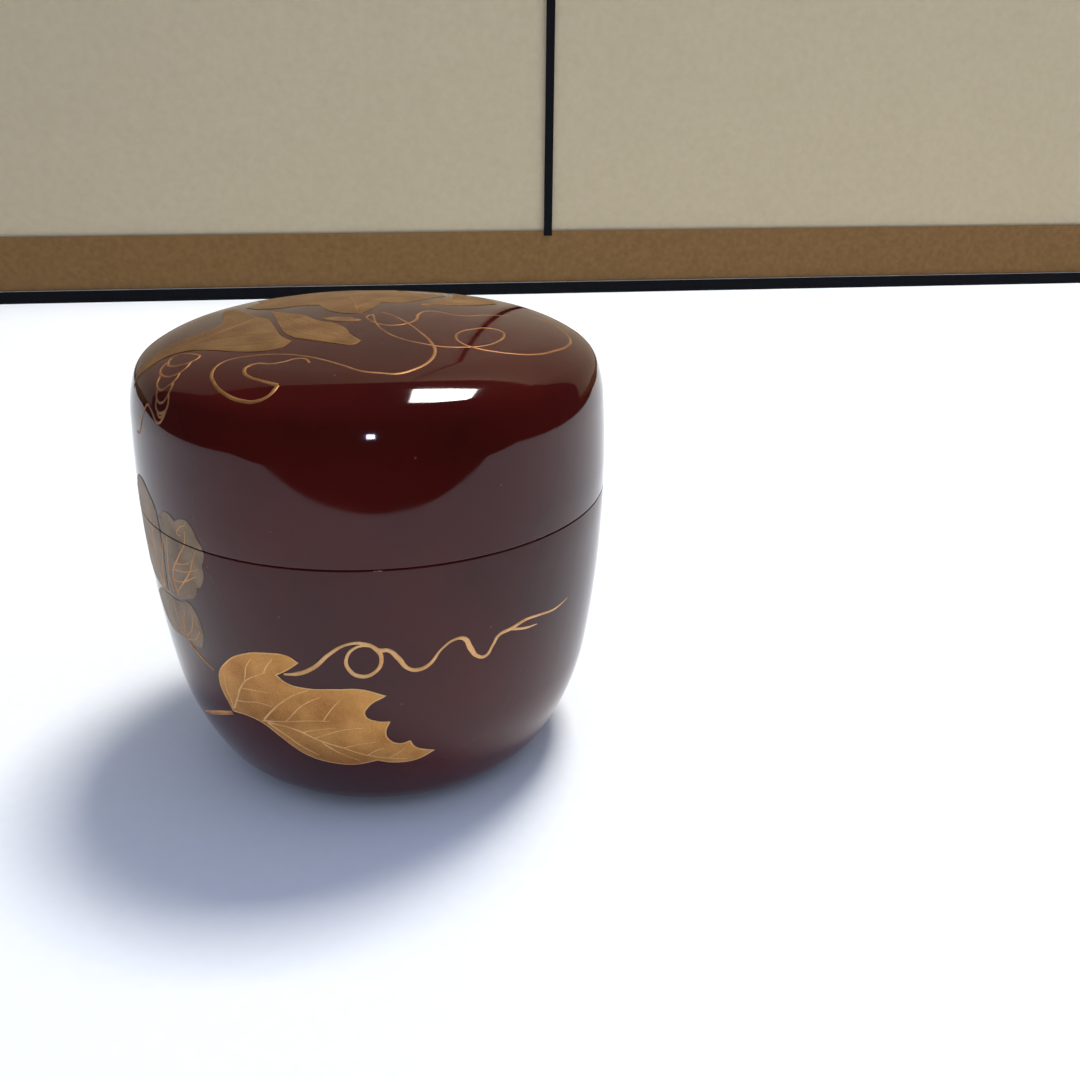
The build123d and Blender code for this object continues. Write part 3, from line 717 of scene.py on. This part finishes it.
BACK_LEAF = [
    [(-17.2, 7.6), (-14.8, 4.4), (-12.0, 3.2), (-8.8, 3.4)],
    [(-6.8, 2.6), (-5.8, -0.8), (-4.4, -2.7), (-2.6, -3.7), (-1.3, -3.8), (-0.1, -2.6), (0.8, -0.6)],
    [(1.8, 2.6), (4.4, 2.6), (6.6, 4.4), (9.0, 7.6)],
    [(11.3, 11.6), (8.0, 12.4), (5.4, 14.6)],
    [(4.0, 19.0), (0.5, 18.6), (-3.6, 22.6)],
    [(-6.4, 24.6), (-8.6, 20.6), (-12.0, 17.6)],
    [(-16.4, 17.0), (-15.6, 12.6)],
]
BACK_LEAF_VEINS = [
    [(-1.6, -2.6, 0.3), (-2.2, 4.0, 0.28), (-3.2, 12.0, 0.24), (-4.6, 20.0, 0.14)],
    [(-1.8, -0.6, 0.24), (2.0, 5.4, 0.22), (6.0, 9.0, 0.18), (9.4, 11.2, 0.12)],
    [(-1.9, 0.6, 0.24), (-6.0, 5.6, 0.22), (-10.4, 7.6, 0.18), (-15.0, 8.2, 0.12)],
    [(-2.4, 5.6, 0.2), (0.6, 10.6, 0.18), (1.6, 16.4, 0.12)],
    [(-2.6, 7.0, 0.2), (-6.4, 12.0, 0.18), (-10.8, 15.4, 0.12)],
]
RIGHT_BACK_LEAF = [
    [(6.9, 1.5), (10.6, 2.4), (14.2, 3.6), (17.2, 6.4)],
    [(18.6, 8.4), (18.0, 13.0), (14.6, 17.0)],
    [(12.6, 19.0), (12.6, 14.0), (12.2, 10.4), (9.4, 5.4)],
]
RIGHT_BACK_LEAF_VEINS = [
    [(8.6, 2.8, 0.26), (12.4, 6.4, 0.24), (14.6, 10.6, 0.2), (14.8, 15.4, 0.12)],
    [(12.4, 6.4, 0.18), (15.4, 7.6, 0.16), (17.4, 9.8, 0.1)],
]
for name, runs, lines, grid in (
    ("trumpet_flower", TRUMPET_FLOWER, TRUMPET_FLOWER_RIBS, FINE_GOLD_GRID),
    ("flower_bud", FLOWER_BUD, FLOWER_BUD_FOLDS, GOLD_GRID),
    ("back_leaf", BACK_LEAF, BACK_LEAF_VEINS, GOLD_GRID),
    ("right_back_leaf", RIGHT_BACK_LEAF, RIGHT_BACK_LEAF_VEINS, GOLD_GRID),
):
    gold_piece(f"{name}_gold", lay_on(gold_shape(runs, grid), LID_TOP), LID, name, finish=LID_GOLD_PAINTED_SHADE)
    gold_piece(f"{name}_lines", veins_on(LID_TOP, lines), LID, finish=LID_LINE_GOLD_PAINTED_SHADE)
gold_piece("trumpet_flower_rim", outline_on(LID_TOP, TRUMPET_FLOWER), LID, finish=LID_LINE_GOLD_PAINTED_SHADE)
gold_piece("flower_bud_rim", outline_on(LID_TOP, FLOWER_BUD), LID, finish=LID_LINE_GOLD_PAINTED_SHADE)
gold_piece("thin_leaf_gold", lay_on(gold_shape(THIN_LEAF, GOLD_GRID), LID_TOP), LID, "thin_leaf",
           finish=LID_GOLD_PAINTED_SHADE)

LID_TENDRILS = [
    # a long line that curls round twice and ends in a hook
    [(-7.4, -21.0, 0.5), (-8.0, -19.7, 0.5), (-9.1, -19.4, 0.4), (-10.6, -19.9, 0.35),
     (-12.1, -20.0, 0.45), (-13.8, -19.4, 0.55), (-15.0, -20.0, 0.7), (-15.1, -21.2, 0.7),
     (-14.4, -22.4, 0.6), (-12.9, -23.7, 0.6), (-11.0, -25.1, 0.8)],
    [(-11.0, -25.1, 0.8), (-12.0, -26.4, 0.65), (-13.5, -26.7, 0.7), (-15.1, -26.0, 0.7),
     (-17.1, -24.2, 0.65), (-18.6, -21.7, 0.6), (-19.1, -19.1, 0.6), (-18.3, -17.5, 0.45),
     (-16.7, -16.8, 0.35), (-14.8, -16.8, 0.35), (-11.9, -17.3, 0.4), (-9.0, -18.4, 0.4),
     (-6.1, -20.2, 0.4), (-3.2, -22.5, 0.45), (-1.3, -24.0, 0.5), (0.9, -24.6, 0.5), (2.9, -24.8, 0.55),
     (5.0, -23.7, 0.6), (6.9, -21.5, 0.65), (7.8, -18.5, 0.65), (7.5, -15.8, 0.6), (6.3, -12.2, 0.5),
     (4.7, -8.3, 0.45), (3.0, -5.0, 0.4), (1.7, -3.4, 0.3)],
    # a finer line that makes one loop on the right
    [(0.5, -4.9, 0.4), (0.8, -8.7, 0.4), (2.0, -12.4, 0.4), (4.0, -14.9, 0.4), (6.1, -16.1, 0.38),
     (8.3, -16.9, 0.35), (11.2, -16.8, 0.35), (14.0, -15.8, 0.4), (16.0, -13.9, 0.45), (17.3, -11.2, 0.5),
     (17.1, -9.2, 0.4), (15.5, -8.6, 0.35), (13.2, -9.8, 0.4), (11.5, -11.4, 0.5), (10.8, -13.4, 0.5),
     (11.3, -15.3, 0.45), (12.6, -16.5, 0.45), (15.0, -17.2, 0.45), (17.9, -17.2, 0.45),
     (20.8, -16.0, 0.45), (23.6, -13.3, 0.45), (26.1, -9.5, 0.5), (27.1, -5.9, 0.5), (26.6, -2.8, 0.45),
     (25.4, 0.1, 0.35), (23.0, 1.7, 0.2)],
    # a short line behind it
    [(0.5, -4.6, 0.4), (-0.3, -5.4, 0.45), (0.0, -7.3, 0.4), (1.4, -9.2, 0.35), (3.1, -9.6, 0.35),
     (4.9, -8.7, 0.4), (6.0, -7.2, 0.6), (6.6, -4.2, 0.6), (7.9, -2.3, 0.35), (9.5, -2.5, 0.35),
     (11.6, -3.6, 0.35), (13.4, -3.5, 0.35), (15.5, -2.1, 0.35), (19.5, -0.4, 0.2)],
]
tendrils = gold_lines(*LID_TENDRILS, brush=LID_BRUSH)
gold_piece("lid_tendrils_gold", lay_on(tendrils, LID_TOP, rise=LID_LINE_RISE), LID, "lid_tendrils",
           finish=LID_LINE_GOLD_PAINTED_SHADE)

COIL = [
    [(-2.8, -12.0), (-3.8, -11.1), (-3.4, -10.2), (-2.2, -9.6), (-0.7, -9.2), (0.4, -9.2), (0.8, -9.8),
     (0.6, -10.5), (0.0, -11.2), (-1.1, -11.9), (-2.1, -12.1), (-2.8, -12.0)],
    [(-3.4, -11.9), (-3.0, -12.9), (-2.2, -13.4), (-1.2, -13.6), (0.0, -13.5), (0.9, -13.1), (1.4, -12.4),
     (1.4, -11.5), (0.7, -10.4)],
    [(-1.6, -13.5), (-0.9, -14.5), (-0.2, -15.1), (0.7, -15.3), (1.5, -15.1), (2.0, -14.5), (2.2, -13.8),
     (2.0, -13.0), (1.4, -12.3)],
    [(0.3, -15.2), (0.6, -16.0), (1.1, -16.5), (1.8, -16.7), (2.5, -16.5), (3.0, -16.0), (3.1, -15.2),
     (2.8, -14.4), (2.2, -13.8)],
    [(0.9, -16.4), (1.2, -17.3), (1.7, -17.7), (2.2, -17.8), (2.9, -17.6), (3.5, -17.2), (3.8, -16.6),
     (3.7, -16.0), (3.1, -15.3)],
    [(1.7, -17.6), (2.1, -18.1), (2.5, -18.2), (2.9, -18.0), (3.3, -17.4)],
    [(3.7, -16.9), (3.4, -17.8), (2.9, -18.5), (2.3, -18.9), (1.5, -18.8), (0.7, -18.3), (-0.1, -17.9),
     (-1.3, -17.6), (-1.8, -18.1), (-2.1, -18.7), (-2.6, -19.4), (-3.2, -20.5), (-4.2, -21.2),
     (-4.9, -21.2)],
]
coil = gold_lines(*(even(COIL_LINE, *line) for line in COIL))
gold_piece("coil_tendril_gold", lay_on(coil, SHOULDER, rise=LID_LINE_RISE), LID, "coil_tendril",
           finish=LID_LINE_GOLD_PAINTED_SHADE)

# ---- Floor, backdrop, light and camera ----


def board(name, width, depth, place, turn, surface):
    """A plain flat board of the studio, centred at a place in metres."""
    bm = bmesh.new()
    bmesh.ops.create_grid(bm, x_segments=1, y_segments=1, size=0.5)
    bmesh.ops.scale(bm, vec=(width, depth, 1), verts=bm.verts)
    bmesh.ops.transform(bm, matrix=Matrix.Translation(place) @ turn, verts=bm.verts)
    mesh = bpy.data.meshes.new(name)
    bm.to_mesh(mesh)
    bm.free()
    mesh.materials.append(surface)
    made = bpy.data.objects.new(name, mesh)
    bpy.context.scene.collection.objects.link(made)
    return made


def paper(name, light, dark, grain):
    # Plain matt paper: one pale colour with a faint fibre, no gloss.
    made, tree, shader, place = material(name, {"Roughness": 0.9, "Specular IOR Level": 0.1})
    fibre = add(tree, "ShaderNodeTexNoise", {"Vector": place, "Scale": per_mm(grain), "Detail": 3.0})
    tone = add(tree, "ShaderNodeMixRGB", {
        "Fac": fibre.outputs["Fac"], "Color1": colour(dark), "Color2": colour(light)})
    tree.links.new(tone.outputs["Color"], shader.inputs["Base Color"])
    return made


WHITE_PAPER = paper("white_paper_matt", "#f4f6f6", "#eef1f2", 2.0)
BEIGE_PAPER = paper("beige_paper_matt", "#c3b597", "#b6a788", 3.0)
BROWN_BORDER = paper("brown_cloth_border", "#8a6a42", "#6c4f30", 2.0)
# black for the backdrop's foot frame, and painted shade for the gap at its joint
BLACK_FRAME_AND_GAP_SHADE = paper("black_frame_and_gap_shade_matt", "#15161a", "#0c0d10", 4.0)

FLAT = Matrix.Identity(4)
UPRIGHT = Matrix.Rotation(radians(90), 4, "X")
BACKDROP = (0.66, 0.62)  # width and height of each of its two leaves, in metres as all the studio is
BACKDROP_LEVEL = 0.335  # of the middle of a leaf
JOINT_AT = 0.0785
BORDER_MIDDLE = 0.078
BORDER_HEIGHT, STRIP_HEIGHT = 0.022, 0.005

# only the white sheet near the caddy shows in its gloss; the rest of the floor is for the other views
board("near_floor", 0.80, 0.52, (0.0, 0.08, 0), FLAT, WHITE_PAPER)
far_floor = board("far_floor", 2.6, 2.6, (0, 0, -0.0002), FLAT, WHITE_PAPER)
far_floor.visible_glossy = False
# each layer of the backdrop stands a little before the last
board("backdrop_left", *BACKDROP, (JOINT_AT - 0.3305, 0.334, BACKDROP_LEVEL), UPRIGHT, BEIGE_PAPER)
board("backdrop_right", *BACKDROP, (JOINT_AT + 0.3305, 0.334, BACKDROP_LEVEL), UPRIGHT, BEIGE_PAPER)
# the strip in the joint is painted shade: a black sheet where the gap between the two leaves is dark
board("backdrop_gap_shade_strip", 0.0036, BACKDROP[1], (JOINT_AT, 0.3325, BACKDROP_LEVEL), UPRIGHT, BLACK_FRAME_AND_GAP_SHADE)
border_at = (BORDER_MIDDLE, 0.333, STRIP_HEIGHT + BORDER_HEIGHT / 2)
board("backdrop_border", 2 * BACKDROP[0], BORDER_HEIGHT, border_at, UPRIGHT, BROWN_BORDER)
strip_at = (BORDER_MIDDLE, 0.332, STRIP_HEIGHT / 2)
board("backdrop_foot", 2 * BACKDROP[0], STRIP_HEIGHT, strip_at, UPRIGHT, BLACK_FRAME_AND_GAP_SHADE)


def lamp(name, place, aim, size, power, tint):
    """A plain rectangular lamp that looks at a point."""
    light = bpy.data.lights.new(name, "AREA")
    light.shape = "RECTANGLE"
    light.size, light.size_y = size
    light.energy = power
    light.color = colour(tint)[:3]
    made = bpy.data.objects.new(name, light)
    towards = (Vector(aim) - Vector(place)).to_track_quat("-Z", "Y")
    made.matrix_world = Matrix.Translation(place) @ towards.to_matrix().to_4x4()
    bpy.context.scene.collection.objects.link(made)
    return made


CENTRE = (0, 0, 0.04)
BELOW_CEILING_LAMP = (0.28, 0.23, 0)
lamp("ceiling_lamp", (0.28, 0.23, 1.0), BELOW_CEILING_LAMP, (0.28, 0.25), 10.5, "#fffdf8")
fill = lamp("soft_fill", (0.1, -0.5, 1.4), CENTRE, (2.6, 1.4), 7.5, "#cfdcff")
fill.visible_glossy = False
lamp("front_lamp", (-0.02, -0.50, 0.18), CENTRE, (0.03, 0.03), 0.25, "#dfe6ff")

world = bpy.data.worlds.new("room")
bpy.context.scene.world = world
world.use_nodes = True
room = world.node_tree
direction = add(room, "ShaderNodeTexCoord", {}).outputs["Generated"]
height = add(room, "ShaderNodeSeparateXYZ", {"Vector": direction}).outputs["Z"]
upward = add(room, "ShaderNodeMapRange", {"Value": height, "From Min": -0.3, "From Max": 0.9})
dim = add(room, "ShaderNodeMixRGB", {
    "Fac": upward.outputs["Result"], "Color1": colour("#2c2e34"), "Color2": colour("#3a3c44")})
# the gloss mirrors a dim room, everything else is lit by a pale one, and a plain wall stands behind it all
ray = add(room, "ShaderNodeLightPath", {}).outputs
mirrored = add(room, "ShaderNodeMixRGB", {
    "Fac": ray["Is Glossy Ray"], "Color1": colour("#7b86a0"), "Color2": dim.outputs["Color"]})
shown = add(room, "ShaderNodeMixRGB", {
    "Fac": ray["Is Camera Ray"], "Color1": mirrored.outputs["Color"], "Color2": colour("#d9d4ca")})
room.links.new(shown.outputs["Color"], room.nodes["Background"].inputs["Color"])

EYE = (0, -0.153, 0.09829)
YAW, PITCH, ROLL = radians(8.972), radians(23.933), radians(0.686)
camera = bpy.data.cameras.new("camera")
camera.sensor_width = 36
camera.lens = 36.70
camera.clip_start, camera.clip_end = 0.005, 20
viewer = bpy.data.objects.new("camera", camera)
viewer.matrix_world = (
    Matrix.Translation(EYE) @ Matrix.Rotation(-YAW, 4, "Z")
    @ Matrix.Rotation(radians(90) - PITCH, 4, "X") @ Matrix.Rotation(ROLL, 4, "Z")
)
bpy.context.scene.collection.objects.link(viewer)
bpy.context.scene.camera = viewer
bpy.context.scene.view_settings.view_transform = "Standard"
